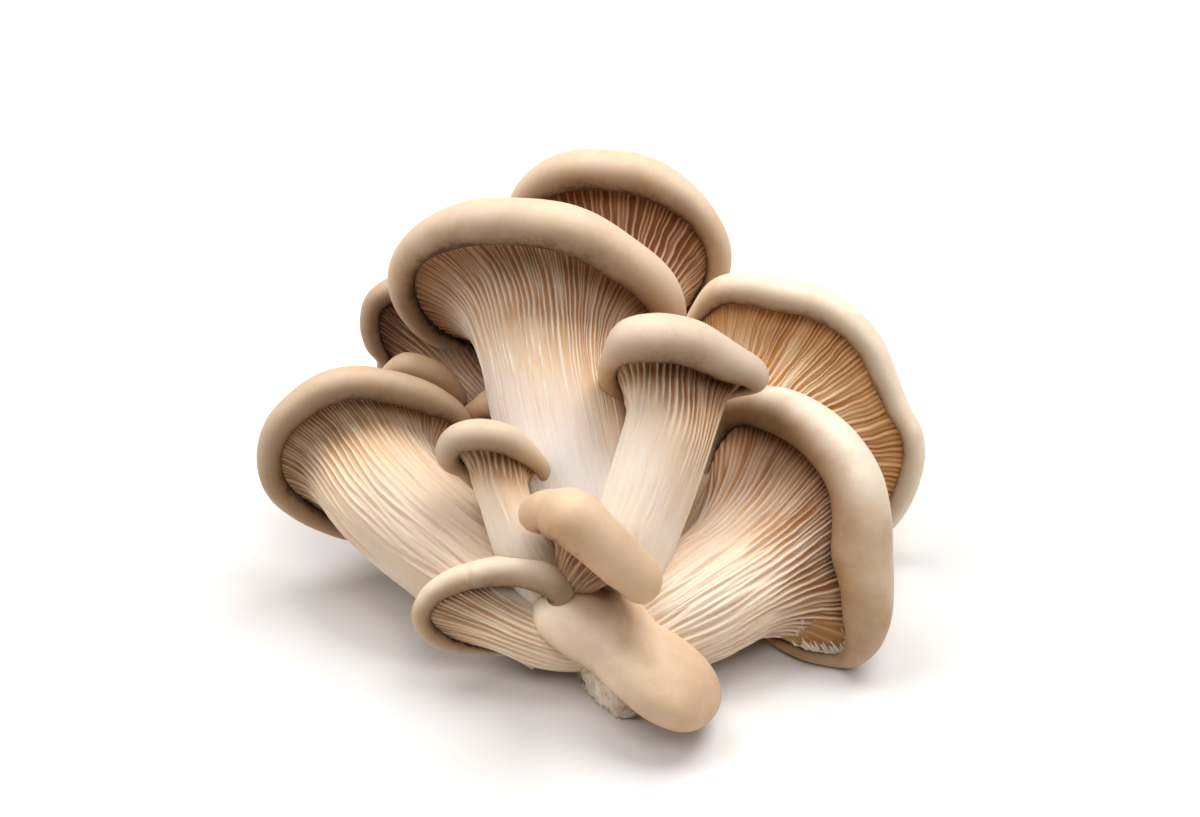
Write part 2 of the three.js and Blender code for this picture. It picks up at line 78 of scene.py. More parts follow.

# foot, bend, throat: the stem's curve. face: the way the gills look. stem: its radius at the
# foot and at the neck. gill_from: how far up the stem the neck is, where the trumpet starts.
# sides: how widely the rim's direction is averaged, as 1/sides of a turn. gills: long gills
# round the rim. rim: (clock angle seen from the gill side, reach from the throat, lip radius,
# and where the lip curls forward, how far ahead of the throat it is).
# A mushroom that differs from the others also has some of these:
#   flat: the stem's depth over its width. heart: how far behind the throat cap and gills part.
#   top: the cap's top, as steps up, aside and back from the throat. dome: how full its back is.
#   lip_to: where round the lip the back begins. nicks: grooves over the lip, as (clock angle,
#   place round the lip, both widths in degrees, depth over the lip's radius).
#   flare: how long the trumpet keeps to the stem's line and to the rim's, and how hollow it is.
#   down, short: where long and short gills end, from -1 at the foot over 0 at the neck to 1.
#   lean: (clock angle, amount), the side where they run further down. gather: (clock angle,
#   degrees), the side of the stem where they are drawn aside. folds: height of the pleats.
#   wave, sway: the gills' waves, their length in gill widths and their width. edge: a gill's
#   width over its space. brown_from: where along the trumpet the gills start to brown with
#   painted shade under the lip.
#   torn: (two clock angles, start along the trumpet) of a patch whose gills are torn off.
#   worn: (two clock angles, start and end along the trumpet) of a patch with rubbed gills.
#   dim: how steeply the lip has to face up before its painted highlight starts.
MUSHROOMS = {
    "front": dict(
        foot=(2.5, -48, 1), bend=(3, -51, 5), throat=(6, -50.4, 12.1),
        face=(-0.35, -0.15, -0.92), stem=(4.6, 4.4), gill_from=0.6, sides=20,
        top=(0, 0, 8.5), dome=0, lip_to=-35, gills=20,
        rim=((43, 7.3, 3.8), (76, 11.2, 4), (90, 15.1, 4.1), (104, 18, 4.2), (120, 17.7, 4.2),
             (135, 16.2, 4.1), (148, 12.4, 4), (180, 6.3, 3.6), (215, 7, 3.8), (235, 8.8, 4.1),
             (256, 14, 4.2), (270, 16.8, 4), (288, 18.8, 4), (307, 19.3, 3.8), (322, 17, 3.8),
             (340, 11, 3.8))),
    "hood": dict(
        foot=(-2, -34, 2), bend=(-7.5, -35.5, 12.3), throat=(-3.4, -42, 30.9),
        face=(-0.52, -0.72, -0.46), stem=(5, 4.6), gill_from=0.72, sides=14, gills=36,
        down=(-0.6, 0.2), folds=0.2, nicks=((357, 45, 2.6, 60, 0.24),),
        rim=((10, 22.7, 5.2), (29, 18.5, 5), (59, 14.9, 4.6), (73, 15.6, 4.3),
             (120, 11, 2.5, -0.5), (160, 9, 2, -1.5), (200, 8, 2, -3.2), (240, 8, 2, -3.6),
             (290, 9.4, 2.2, -2), (316, 12.4, 2.8, -0.6), (333, 15.6, 3.3), (356, 19.5, 4.4))),
    "low": dict(
        foot=(0, -40.5, 6.9), bend=(-11.5, -47, 10), throat=(-21.9, -42.2, 14.5),
        face=(0.15, -0.97, 0.19), stem=(5.4, 5.4), flat=1.05, gill_from=0.45, sides=16,
        heart=4, top=(0, 0, 8.5), gills=34, down=(-0.9, -0.3), folds=0.3, dim=0.1,
        nicks=((337, 50, 2.4, 60, 0.22),),
        rim=((15, 11.2, 3.1), (38, 13.4, 3.1, 2.2), (50, 15.1, 3.2, 4), (58, 15.7, 3.1, 4.8),
             (67, 14.7, 2.9, 4.8), (84, 12.5, 1.8, 2.6), (100, 12, 1.5), (130, 10, 1.2),
             (175, 8, 1), (212, 8.2, 0.9), (232, 9.6, 1.3), (249, 11.7, 1.7), (281, 14.9, 2),
             (294, 14.5, 2.1), (315, 12.8, 2.5), (343, 11.1, 2.8))),
    "bud": dict(
        foot=(-8.2, -36.9, 14.7), bend=(-20.3, -34.4, 34.2), throat=(-21, -24.1, 40.9),
        face=(0, -0.96, -0.3), stem=(7.5, 5), gill_from=0.72, sides=14, gills=26,
        down=(-0.5, 0.3), short=(0.4, 0.8), folds=0.2, flare=(0.45, 0.8), lean=(90, 0.2),
        rim=((5, 9.1, 2.9), (37, 7.3, 2.6), (81, 7.6, 2), (104, 9.6, 1.6, 0.3),
             (120, 11.2, 1.3, 0.6), (134, 12, 1.1, 0.6), (150, 9.5, 1.1), (180, 8, 1.4),
             (215, 8, 1.6), (249, 7.3, 1.8), (274, 9.6, 2.2), (297, 11, 2.5), (321, 11.6, 2.8),
             (341, 10.7, 3))),
    "right": dict(
        foot=(6.6, -42, 8.2), bend=(21.6, -38.4, 16.1), throat=(38, -19.3, 14.5),
        face=(-0.72, -0.6, 0.34), stem=(10, 13), gill_from=0.6, sides=22, gills=62,
        down=(-0.95, 0.1), folds=1, flare=(0.35, 0.2), torn=(99, 152, 0.42), dim=0.25,
        rim=((12, 26.9, 5.4), (31, 26.1, 5.6), (47, 24.2, 5.9), (64, 22.9, 6.1), (81, 25, 5.3),
             (94, 27.1, 4.8), (104, 28.8, 3.6), (113, 28.9, 2.3), (120, 27.8, 1.5, 0.3),
             (127, 24.8, 1.3, 3.6), (137, 21, 1.2, 5.8), (150, 18, 1.2, 5.8), (170, 14, 1.4, 4),
             (200, 13.5, 1.6, 2), (240, 14.5, 1.4, 2), (265, 16.5, 1.1, 5), (275, 18.2, 1, 7.2),
             (287, 19, 1, 7.8), (295, 21.8, 1, 6.6), (301, 25.4, 1.4, 4.4),
             (307, 28.6, 2.5, 2), (316, 29.9, 3.8, 0.8), (334, 28.7, 4.9), (353, 27.5, 5.2))),
    "middle": dict(
        foot=(2.4, -36.9, 14.7), bend=(13, -24.7, 43.3), throat=(17.3, -9.9, 52.5),
        face=(0.05, -0.93, -0.37), stem=(8.5, 9), gill_from=0.66, sides=18, gills=40,
        down=(-0.5, 0.2), short=(0.4, 0.85), folds=0.2, flare=(0.4, 0.6), lean=(95, 0.4),
        gather=(95, 18),
        rim=((29, 10, 4.3), (72, 10.8, 3.7), (99, 15.2, 2.6), (108, 15.6, 1.8),
             (122, 13.5, 1.2), (150, 12, 1.2), (180, 12, 1.5), (210, 13.5, 2), (250, 15, 2),
             (302, 17.1, 2.6), (320, 18.2, 4.2), (336, 16.2, 4.7), (356, 13.4, 4.6))),
    "left": dict(
        foot=(-8.3, -36.7, 8.5), bend=(-38, -26, 22), throat=(-52.3, -7.2, 30),
        face=(0.15, -0.98, 0.13), stem=(12, 12.5), gill_from=0.7, sides=18, gills=56,
        down=(-0.9, 0.1), folds=0.6, flare=(0.45, 0.8), lean=(90, 0.2),
        rim=((7, 16.8, 3.5), (26, 17.1, 3.4), (45, 18.7, 3.3), (61, 20.9, 3.1), (72, 23.2, 2.4),
             (105, 26, 2), (140, 25, 2), (175, 21, 2), (200, 18.6, 2), (222, 17.6, 2.4),
             (244, 17.9, 2.5), (279, 17.3, 2.7), (298, 16.8, 3), (320, 16.1, 3.3),
             (346, 16.5, 3.5))),
    "main": dict(
        foot=(1, -30.9, 9.4), bend=(-7, -13.8, 41.1), throat=(-13.6, 13.8, 53.6),
        face=(-0.15, -0.95, -0.27), stem=(11, 14.5), gill_from=0.6, sides=24,
        top=(2, 0, 9), gills=84,
        down=(-0.2, 0.25), short=(0.35, 0.85), folds=0.15, flare=(0.5, 0.9), lean=(90, 0.25),
        gather=(90, 30), worn=(314, 358, 0.06, 0.42),
        rim=((19, 26.6, 4.8), (46, 25.9, 4.6), (74, 27.9, 4.2), (100, 29, 3), (135, 27, 3),
             (180, 22, 2.5), (215, 24, 2.2), (239, 27.5, 2.2), (273, 28.9, 2.9),
             (295, 28.8, 3.2), (314, 28, 3.9), (335, 27.2, 4.5), (356, 26.4, 4.6))),
    "tucked": dict(
        foot=(-23, 5, 20), bend=(-33, 6, 24), throat=(-37.7, 7.4, 34.1),
        face=(-0.1, -0.96, -0.26), stem=(4, 3.6), gill_from=0.8, sides=10, top=(0, 0, 5),
        gills=18,
        rim=((4, 8.1, 3), (49, 6.2, 2.8), (120, 7.5, 2), (180, 6.5, 2), (240, 6.5, 2),
             (317, 9.1, 2.4), (342, 9.9, 2.8))),
    "button": dict(
        foot=(-14, -20, 18), bend=(-20, -9, 24), throat=(-23, 0.2, 31.4),
        face=(-0.21, -0.92, -0.33), stem=(3.5, 3.2), gill_from=0.8, sides=10, top=(0, 0, 5),
        gills=16,
        rim=((4, 8.4, 2.8), (26, 7.5, 2.4), (120, 6.5, 2.2), (180, 6.5, 2), (240, 6, 2),
             (290, 5.4, 2), (337, 5.8, 2.4))),
    "fan": dict(
        foot=(12, -22, 9), bend=(23, -3.1, 18), throat=(33, 13.1, 26.7),
        face=(-0.35, -0.88, 0.31), stem=(7, 9), gill_from=0.6, sides=22, gills=84,
        down=(-0.5, 0.4), folds=0.5, wave=6, flare=(0.35, 0.3), brown_from=0.55, edge=0.46,
        sway=2.2,
        rim=((7, 26.3, 3.7), (25, 28.5, 3.5), (39, 30, 3.2), (52, 30.8, 3), (66, 31.1, 2.8),
             (78, 32.9, 2.5), (87, 36, 2.4), (104, 37.9, 2.4), (127, 38, 2.2), (141, 35.7, 2.2),
             (185, 22, 2.2), (225, 20, 2.2), (270, 17, 2), (322, 23.6, 2), (335, 26, 3),
             (350, 26.2, 3.6))),
    "crown": dict(
        foot=(3, -14, 14), bend=(1, 14, 30), throat=(4, 43.7, 43.2),
        face=(-0.25, -0.97, 0.06), stem=(7, 9), gill_from=0.66, sides=18, gills=58,
        down=(-0.6, 0.4), short=(0.4, 0.9), wave=8,
        rim=((13, 23.3, 4.4), (34, 23.4, 3.8), (53, 23.7, 3.1), (71, 23.7, 2.8), (110, 21, 2.5),
             (150, 21, 2.5), (190, 20, 2.5), (235, 20, 2.5), (275, 23, 3), (308, 24.9, 3.6),
             (328, 24.4, 4.3), (351, 23.2, 4.4))),
    "back": dict(
        foot=(-5, -15, 12), bend=(-15, 7, 22), throat=(-36, 25.9, 33.4),
        face=(0.1, -0.98, 0.19), stem=(6, 6.5), gill_from=0.7, sides=14, gills=44,
        rim=((10, 17, 3), (50, 17, 3), (90, 18, 3), (130, 22, 2.2), (165, 30, 2.2),
             (200, 30, 2.2), (228, 18, 2), (252, 12.1, 1.6), (273, 13.4, 2), (294, 15.5, 2.2),
             (310, 16.9, 2.4), (340, 16, 3))),
}

# The torn base. footprint: (angle, reach). spread: its width at even steps up from the surface.
BASE = dict(
    middle=(5, -45), height=15,
    footprint=((0, 11), (45, 11), (90, 11), (135, 12), (180, 9), (225, 9), (262, 12), (290, 12),
               (325, 11)),
    spread=(0.93, 1, 0.95, 0.75, 0.4))

# ---- colours, as they look on a screen, 0 to 255, or made linear by srgb


def srgb(red, green, blue):
    """A colour given as it looks on a screen, as linear light."""
    return tuple(((c / 255 + 0.055) / 1.055) ** 2.4 for c in (red, green, blue)) + (1.0,)


# For each cap: the painted highlight on the lip's top, set lighter where a cap lies in shade,
# its skin, and the dark tone by the crease, partly its own dark line and partly painted shade.
SKINS = {
    "front": ((252, 228, 200), (182, 146, 108), (150, 118, 88)),
    "hood": ((226, 196, 164), (206, 173, 138), (132, 100, 70)),
    "low": ((244, 225, 202), (188, 160, 128), (100, 80, 58)),
    "bud": ((220, 198, 172), (184, 154, 122), (92, 74, 54)),
    "right": ((240, 226, 208), (178, 142, 104), (92, 76, 56)),
    "middle": ((228, 206, 182), (196, 168, 136), (92, 74, 54)),
    "left": ((214, 188, 160), (176, 144, 110), (76, 60, 44)),
    "main": ((231, 204, 176), (206, 172, 138), (84, 66, 46)),
    "tucked": ((214, 184, 150), (186, 152, 118), (104, 80, 58)),
    "button": ((206, 174, 142), (184, 150, 118), (120, 94, 70)),
    "fan": ((236, 218, 196), (232, 212, 186), (96, 78, 56)),
    "crown": ((232, 206, 178), (204, 174, 140), (74, 56, 38)),
    "back": ((204, 174, 148), (172, 142, 114), (80, 64, 50)),
}
LIT_FROM, LIT_TO = -0.3, 0.8  # how steeply the lip faces up where its painted highlight starts and is full
LIT_BACKS = {"front": 270}    # caps whose back has painted light towards one clock angle, where it lies in shade, and how strong that painted light is at the top
LIT_BACK_TOP = 0.55                # and how pale it is at the top
OCHRE = srgb(210, 166, 118)    # the clouds in every cap's skin

# A tone's red, green and blue over those of the colour that it is made from.
WARM = (2.1, 1.75, 1.4)        # from a cap's dark skin to the band of painted shade above it
LINE = (0.2, 0.2, 0.2)         # from the dark skin to the thin line at the crease, own line and painted shade
BROWN = (0.6, 0.47, 0.32)      # painted shade: the gills' depths to their end under the lip

EDGE = (248, 228, 206)
EDGES = {  # the gills' edges, where a mushroom's differ; hood's and back's are painted shadow
    "hood": (196, 158, 122), "back": (176, 142, 114), "crown": (240, 214, 182),
    "fan": (250, 230, 200), "tucked": (190, 156, 124), "bud": (232, 204, 174),
    "left": (230, 208, 184), "right": (230, 210, 190), "middle": (240, 218, 190)}
STEM = (244, 226, 206)
STEMS = {  # the stems' own colour, where a mushroom's differs
    "main": (245, 244, 243), "middle": (250, 240, 228), "bud": (250, 236, 218),
    "left": (228, 207, 186), "right": (242, 222, 202), "low": (240, 218, 192),
    "fan": (206, 174, 142), "crown": (206, 174, 142)}
TAN = srgb(234, 202, 166)      # painted shade where gills and pleats run down the stem; rubbed gills
BARE = srgb(170, 122, 72), srgb(204, 160, 104)     # flesh under torn gills, and its streaks
TORN = srgb(250, 234, 212), srgb(210, 168, 120)    # torn flesh, and where it has browned
# The depths between the gills are painted darker than their edges as shade, on each mushroom's
# own tint; the hood's and back's lie in shadow and are painted darker still.
VALLEY = (204, 150, 98)
VALLEYS = {  # painted shade between the gills, where a mushroom's differs
    "fan": (224, 160, 84), "crown": (176, 118, 68), "middle": (180, 120, 70),
    "main": (200, 146, 96), "back": (130, 92, 64), "left": (206, 162, 116),
    "tucked": (140, 102, 76), "bud": (182, 128, 80), "hood": (142, 100, 68),
    "right": (200, 146, 92), "low": (222, 182, 140)}

# ---- small maths


def length(v):
    return np.linalg.norm(v, axis=-1, keepdims=True)


def unit(v):
    return v / np.maximum(length(v), 1e-9)


def smooth(x):
    x = np.clip(x, 0.0, 1.0)
    return x * x * (3 - 2 * x)


def bezier(points, t):
    """Points of a Bezier curve, or of one curve for each column, at t."""
    while len(points) > 1:
        points = [a + (b - a) * t for a, b in zip(points, points[1:])]
    return points[0]


def cyclic(knots, values):
    """Smooth closed curve through values at rising angles in degrees."""
    knots, values = np.array(knots, float), np.array(values, float)
    gap = np.diff(np.append(knots, knots[0] + 360))
    rise = (np.roll(values, -1) - values) / gap
    slope = (np.roll(rise, 1) * gap + rise * np.roll(gap, 1)) / (np.roll(gap, 1) + gap)

    def at(angle):
        a = knots[0] + np.mod(angle - knots[0], 360)
        i = np.searchsorted(knots, a, side="right") - 1
        j = (i + 1) % len(knots)
        t = (a - knots[i]) / gap[i]
        return ((1 + 2 * t) * (1 - t) ** 2 * values[i] + t * (1 - t) ** 2 * gap[i] * slope[i]
                + t * t * (3 - 2 * t) * values[j] + t * t * (t - 1) * gap[i] * slope[j])
    return at


# ---- the form of one mushroom


class Form:
    """A mushroom's smooth surfaces, asked for at clock angles c in degrees."""

    def __init__(self, m):
        self.m = m
        self.throat = np.array(m["throat"], float)
        self.face = unit(np.array(m["face"], float))
        self.up = unit(np.array([0.0, 0.0, 1.0]) - self.face * self.face[2])
        self.side = np.cross(self.up, self.face)
        self.reach = cyclic([r[0] for r in m["rim"]], [r[1] for r in m["rim"]])
        self.lip_radius = cyclic([r[0] for r in m["rim"]], [r[2] for r in m["rim"]])
        self.ahead = cyclic([r[0] for r in m["rim"]], [(*r, 0)[3] for r in m["rim"]])
        self.flat = m.get("flat", STEM_FLAT)
        self.stations = self.carry_up()
        top_up, top_side, top_back = m.get("top", (0, 0, 8))
        self.top = self.throat + top_up * self.up + top_side * self.side - top_back * self.face

    def carry_up(self):
        """The stem's curve in steps, with the up direction carried down from the throat."""
        foot, bend = np.array(self.m["foot"], float), np.array(self.m["bend"], float)
        stations, carried = [], self.up
        for i in range(AXIS_STEPS, -1, -1):
            t = i / AXIS_STEPS
            tangent = unit((bend - foot) * (1 - t) + (self.throat - bend) * t)
            carried = unit(carried - tangent * (carried @ tangent))
            stations.append((bezier([foot, bend, self.throat], t), tangent, carried))
        return stations[::-1]

    def axis(self, t):
        i = min(AXIS_STEPS - 1, int(t * AXIS_STEPS))
        k = t * AXIS_STEPS - i
        here, there = self.stations[i], self.stations[i + 1]
        point, tangent, up = (a + (b - a) * k for a, b in zip(here, there))
        tangent = unit(tangent)
        up = unit(up - tangent * (up @ tangent))
        return point, tangent, up, np.cross(tangent, up)

    def away(self, c):
        a = np.radians(c)[:, None]
        return self.up * np.cos(a) + self.side * np.sin(a)

    def core(self, c):
        flat = self.throat + self.away(c) * self.reach(c)[:, None]
        return flat + self.face * self.ahead(c)[:, None]

    def outward(self, c):
        step = 360 / self.m["sides"]
        return unit(np.cross(self.face, self.core(c + step) - self.core(c - step)))

    def lip_end(self):
        """Where round the lip, in degrees, the back of the cap begins."""
        return self.m.get("lip_to", LIP_TO)

    def lip(self, c, turn):
        r, a = self.lip_radius(c), math.radians(turn)
        for clock, middle, wide, tall, share in self.m.get("nicks", ()):
            off = (np.mod(c - clock + 180, 360) - 180) / wide
            r = r * (1 - share * np.exp(-off ** 2 - ((turn - middle) / tall) ** 2))
        r = r[:, None]
        around = math.cos(a) * self.outward(c) + LIP_TALL * math.sin(a) * self.face
        return self.core(c) + r * around

    def stem(self, c, t):
        clock, bunched = self.m.get("gather", (90, 0))
        c = c - bunched * np.clip(np.cos(np.radians(c - clock)), 0, 1) ** 2
        point, _, up, side = self.axis(t)
        low, high = self.m["stem"]
        r = low + (high - low) * smooth(t / self.m["gill_from"])
        a = np.radians(c)[:, None]
        return point + r * (self.flat * np.cos(a) * up + np.sin(a) * side)

    def sheet(self, c, w):
        """The trumpet under the gills, from the neck at w = 0 to the crease at 1."""
        neck = self.stem(c, self.m["gill_from"])
        crease = self.lip(c, LIP_FROM)
        out = self.outward(c)
        run = self.axis(self.m["gill_from"])[1]
        span = length(crease - neck)
        ahead = np.maximum(0, (neck - self.throat) @ self.face)[:, None]
        room = ahead / max(0.2, -(run @ self.face))
        flare, hollow = self.m.get("flare", (0.3, 0.0))
        rise = neck + run * np.minimum(flare * span, 0.9 * room)
        toward = neck - crease
        sunk = self.face * (toward @ self.face)[:, None]
        bed = crease + flare * (toward - hollow * sunk) - 0.1 * span * out
        return bezier([neck, rise, bed, crease], w)

    def heart(self, deeper):
        return self.throat - self.face * (self.m.get("heart", HEART) + deeper)

    def parting(self, c, u, deeper):
        """The hidden surface behind the gills, from the crease at u = 0 to the heart."""
        crease, inner = self.lip(c, LIP_FROM), self.heart(deeper)
        span = length(crease - inner)
        flat = crease - inner
        flat = flat - self.face * (flat @ self.face)[:, None]
        shoulder = crease - 0.35 * span * self.outward(c) - self.face * (2.2 + deeper)
        return bezier([crease, shoulder, inner + 0.35 * flat, inner + 0 * flat], u)

    def back(self, c, u):
        """The back of the cap, from the lip at u = 0 to its top."""
        edge = self.lip(c, self.lip_end())
        span = length(edge - self.top)
        flat = edge - self.top
        flat = flat - self.face * (flat @ self.face)[:, None]
        end = math.radians(self.lip_end())
        onward = unit(math.sin(end) * self.outward(c) - LIP_TALL * math.cos(end) * self.face)
        dome = self.m.get("dome", 0.15)
        shoulder = edge + 0.35 * span * onward - self.face * dome * span
        return bezier([edge, shoulder, self.top + 0.5 * flat, self.top + 0 * flat], u)


# ---- meshes


def closed_skin(name, start, rows, end, values):
    """A closed mesh from rows of points with a point at each end. values: name to one
    number or vector for each of the points in turn."""
    rows = np.array(rows)
    count, n = rows.shape[:2]
    points = np.vstack([[start], rows.reshape(-1, 3), [end]])
    grid = 1 + np.arange(count * n).reshape(count, n)
    right = np.roll(grid, -1, axis=1)
    quads = np.stack([grid[:-1], right[:-1], right[1:], grid[1:]], axis=-1).reshape(-1, 4)
    first = np.stack([0 * grid[0], right[0], grid[0]], axis=-1)
    final = np.stack([0 * grid[0] + len(points) - 1, grid[-1], right[-1]], axis=-1)
    mesh = bpy.data.meshes.new(name)
    faces = quads.tolist() + first.tolist() + final.tolist()
    mesh.from_pydata(((points - CENTRE) * MM).tolist(), [], faces)
    for key, value in values.items():
        value = np.asarray(value, np.float32)
        kind, slot = ("FLOAT_VECTOR", "vector") if value.ndim == 2 else ("FLOAT", "value")
        mesh.attributes.new(key, kind, "POINT").data.foreach_set(slot, value.ravel())
    mesh.polygons.foreach_set("use_smooth", [True] * len(mesh.polygons))
    piece = bpy.data.objects.new(name, mesh)
    bpy.context.scene.collection.objects.link(piece)
    return piece


def with_ends(start, grid, end):
    """The values of a skin's rows in turn, between those of its two end points."""
    return np.concatenate([[start], np.ravel(grid), [end]])


def with_still_ends(grid):
    """The vectors of a skin's rows in turn, with none at its two end points."""
    return np.vstack([np.zeros((1, 3)), grid.reshape(-1, 3), np.zeros((1, 3))])


def settle(piece):
    """Flattens what would sink below the surface the cluster lies on."""
    co = np.empty(len(piece.data.vertices) * 3, np.float32)
    piece.data.vertices.foreach_get("co", co)
    co = co.reshape(-1, 3)
    co[:, 2] = np.maximum(co[:, 2], REST * MM)
    piece.data.vertices.foreach_set("co", co.ravel())
    piece.data.update()


# ---- node trees


def live(sockets, name=None):
    """The first socket in use, of that name where one is given."""
    return next(s for s in sockets if s.enabled and name in (None, s.name))


class Nodes:
    """Adds nodes to a tree, each fed with sockets or plain values by input name or number."""

    def __init__(self, tree):
        self.tree = tree

    def add(self, kind, inputs=None, **settings):
        node = self.tree.nodes.new(kind)
        for key, value in settings.items():
            setattr(node, key, value)
        for key, value in (inputs or {}).items():
            self.feed(node.inputs[key], value)
        return node

    def feed(self, socket, value):
        if isinstance(value, bpy.types.NodeSocket):
            self.tree.links.new(value, socket)
        else:
            socket.default_value = value

    def math(self, operation, a, b=0.0, clamp=False):
        node = self.add("ShaderNodeMath", {0: a, 1: b}, operation=operation, use_clamp=clamp)
        return node.outputs[0]

    def plus(self, a, b, clamp=False):
        return self.math("ADD", a, b, clamp)

    def less(self, a, b):
        return self.math("SUBTRACT", a, b)

    def times(self, *factors):
        product = factors[0]
        for factor in factors[1:]:
            product = self.math("MULTIPLY", product, factor)
        return product

    def vector(self, operation, a, b=None, scale=None):
        node = self.add("ShaderNodeVectorMath", {0: a}, operation=operation)
        if b is not None:
            self.feed(node.inputs[1], b)
        if scale is not None:
            self.feed(node.inputs["Scale"], scale)
        return node.outputs["Vector"]

    def rise(self, value, low, high):
        """0 below low, 1 above high, smooth between."""
        node = self.add("ShaderNodeMapRange", interpolation_type="SMOOTHSTEP",
                        inputs={"Value": value, "From Min": low, "From Max": high})
        return node.outputs["Result"]

    def xyz(self, x=0.0, y=0.0, z=0.0):
        return self.add("ShaderNodeCombineXYZ", {"X": x, "Y": y, "Z": z}).outputs[0]

    def cloud(self, place, detail):
        """Noise from 0 to 1, with lumps one unit of "place" wide."""
        node = self.add("ShaderNodeTexNoise", {"Vector": place, "Scale": 1.0, "Detail": detail})
        return node.outputs[0]


def new_tree(name, numbers, others):
    """A Geometry Nodes tree with named inputs, and the sockets that bring them in. numbers:
    name to value. others: name to the kind of socket."""
    tree = bpy.data.node_groups.new(name, "GeometryNodeTree")
    face = tree.interface
    face.new_socket("Geometry", in_out="INPUT", socket_type="NodeSocketGeometry")
    for label, value in numbers.items():
        socket = face.new_socket(label, in_out="INPUT", socket_type="NodeSocketFloat")
        socket.default_value = value
    for label, kind in others.items():
        face.new_socket(label, in_out="INPUT", socket_type=f"NodeSocket{kind}")
    face.new_socket("Geometry", in_out="OUTPUT", socket_type="NodeSocketGeometry")
    k = Nodes(tree)
    return k, k.add("NodeGroupInput").outputs


def end_tree(k, shape, material):
    solid = k.add("GeometryNodeRealizeInstances", {"Geometry": shape})
    painted = k.add("GeometryNodeSetMaterial",
                    {"Geometry": solid.outputs[0], "Material": material})
    k.add("NodeGroupOutput", {"Geometry": painted.outputs[0]})
    return k.tree


def gill_tree():
    """Raises gills from a skin whose "turn" counts gills round it and whose "run" goes from
    -1 at the stem's foot over 0 at the neck to 1 at the crease. Even gills are tall and run
    down the stem, odd ones are short and low. Each ends at its own seeded place. Folds are
    wider soft pleats. "ring" goes round and along the skin in gill widths, with no seam."""
    numbers = {"Depth": 1.0 * MM, "Edge Width": 0.38, "Short Height": 0.75,
               "Waviness": 1.6 * MM, "Wave Length": 14, "Folds": 0.35 * MM, "Fold Width": 3.2,
               "Long Ends From": -0.9, "Long Ends To": -0.1, "Short Ends From": 0.3,
               "Short Ends To": 0.75, "Fade": 0.3, "Crinkle": 0.5 * MM}
    others = {"Gills Round": "Int", "Seed": "Int", "Material": "Material"}
    k, given = new_tree("raise_gills", numbers, others)

    def own(name, kind="FLOAT"):
        node = k.add("GeometryNodeInputNamedAttribute", {"Name": name}, data_type=kind)
        return node.outputs[0]

    def drawn(low, high, gill, seed):
        node = k.add("FunctionNodeRandomValue", data_type="FLOAT")
        for socket, value in (("Min", low), ("Max", high), ("ID", gill), ("Seed", seed)):
            k.feed(live(node.inputs, socket), value)
        return live(node.outputs)

    turn, run, tall = own("turn"), own("run"), own("tall")
    lower = k.math("FLOOR", turn)
    widening = k.less(1.25, k.times(k.rise(run, 0.1, 1.0), 0.4))
    width = k.times(given["Edge Width"], widening)
    width_seed, height_seed = k.plus(given["Seed"], 3.0), k.plus(given["Seed"], 7.0)
    heights = []
    for step in (0.0, 1.0):
        edge = k.plus(lower, step)
        gill = k.math("FLOORED_MODULO", edge, given["Gills Round"])
        odd = k.math("FLOORED_MODULO", gill, 2.0)
        long_end = drawn(given["Long Ends From"], given["Long Ends To"], gill, given["Seed"])
        short_end = drawn(given["Short Ends From"], given["Short Ends To"], gill, given["Seed"])
        end = k.plus(long_end, k.times(odd, k.less(short_end, long_end)))
        grown = k.rise(run, end, k.plus(end, given["Fade"]))
        own_width = k.times(width, drawn(0.75, 1.25, gill, width_seed))
        off = k.math("DIVIDE", k.less(turn, edge), own_width)
        blade = k.math("EXPONENT", k.times(off, off, -1.0))
        uneven = drawn(0.7, 1.1, gill, height_seed)
        lower_share = k.times(odd, k.less(given["Short Height"], 1.0))
        size = k.times(uneven, k.plus(1.0, lower_share))
        heights.append(k.times(grown, blade, size))
    ridge = k.plus(*heights)

    def cloud(across, along, seed_step):
        """Noise from 0 to 1, with so many lumps to a gill width across and along the gills."""
        moved = k.vector("MULTIPLY", own("ring", "FLOAT_VECTOR"), k.xyz(across, across, along))
        placed = k.vector("ADD", moved, k.xyz(z=k.times(given["Seed"], seed_step)))
        return k.cloud(placed, 1.5)

    pleat = cloud(k.math("DIVIDE", 1.0, given["Fold Width"]), 0.045, 11.3)
    crest = k.math("ABSOLUTE", k.less(k.times(pleat, 2.0), 1.0))
    fold = k.less(1.0, k.rise(crest, 0.0, 0.5))
    sway = k.less(cloud(0.14, k.math("DIVIDE", 1.0, given["Wave Length"]), 5.7), 0.5)
    bend = k.less(cloud(0.4, 0.3, 3.1), 0.5)
    swayed = k.plus(k.times(sway, given["Waviness"]), k.times(bend, given["Crinkle"], tall))
    raised = k.times(ridge, tall, given["Depth"])
    lift = k.plus(raised, k.times(fold, own("pleated"), given["Folds"]))
    normal = k.add("GeometryNodeInputNormal").outputs[0]
    shift = k.vector("ADD", k.vector("SCALE", normal, scale=lift),
                     k.vector("SCALE", own("across", "FLOAT_VECTOR"), scale=swayed))
    moved = k.add("GeometryNodeSetPosition", {"Geometry": given["Geometry"], "Offset": shift})
    shape = moved.outputs[0]
    for name, value in (("ridge", ridge), ("fold", fold)):
        kept = k.add("GeometryNodeStoreNamedAttribute", {"Geometry": shape, "Name": name},
                     data_type="FLOAT", domain="POINT")
        k.feed(live(kept.inputs, "Value"), value)
        shape = kept.outputs[0]
    return end_tree(k, shape, given["Material"])


